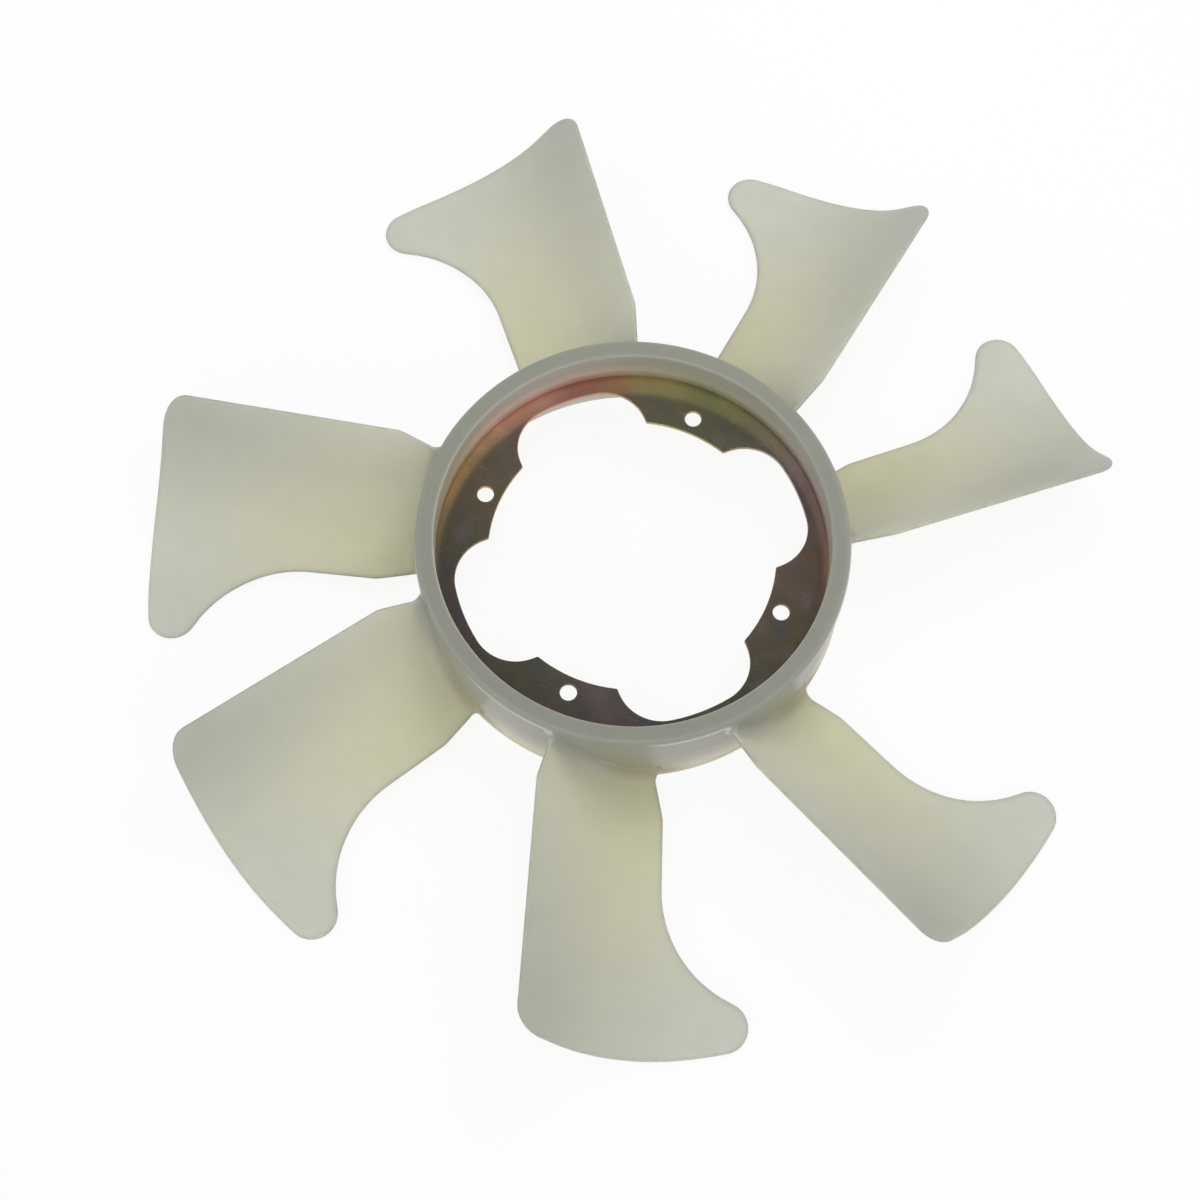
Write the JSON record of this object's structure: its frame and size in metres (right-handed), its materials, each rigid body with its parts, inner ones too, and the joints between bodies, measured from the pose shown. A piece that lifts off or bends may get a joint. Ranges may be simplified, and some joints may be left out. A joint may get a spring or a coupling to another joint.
{
  "type": "axial fan impeller",
  "caption": "Axial fan wheel: hub ring with unevenly spaced curved blades, moulded over a stamped steel plate with a bolt circle.",
  "frame": {"origin": "centre of the bolt circle on the front face of the steel plate", "axes": "+Z is the fan's axis and points out of its front; one of the four bolt holes lies on +X"},
  "size_m": [0.3972, 0.3962, 0.0521],
  "materials": {
    "nylon": "natural nylon as moulded, slightly translucent, satin",
    "plate_steel": "stamped steel with an iridescent yellow chromate coat"
  },
  "bodies": {
    "root": {"fan_moulding": "nylon", "hub_insert": "plate_steel"}
  },
  "joints": []
}
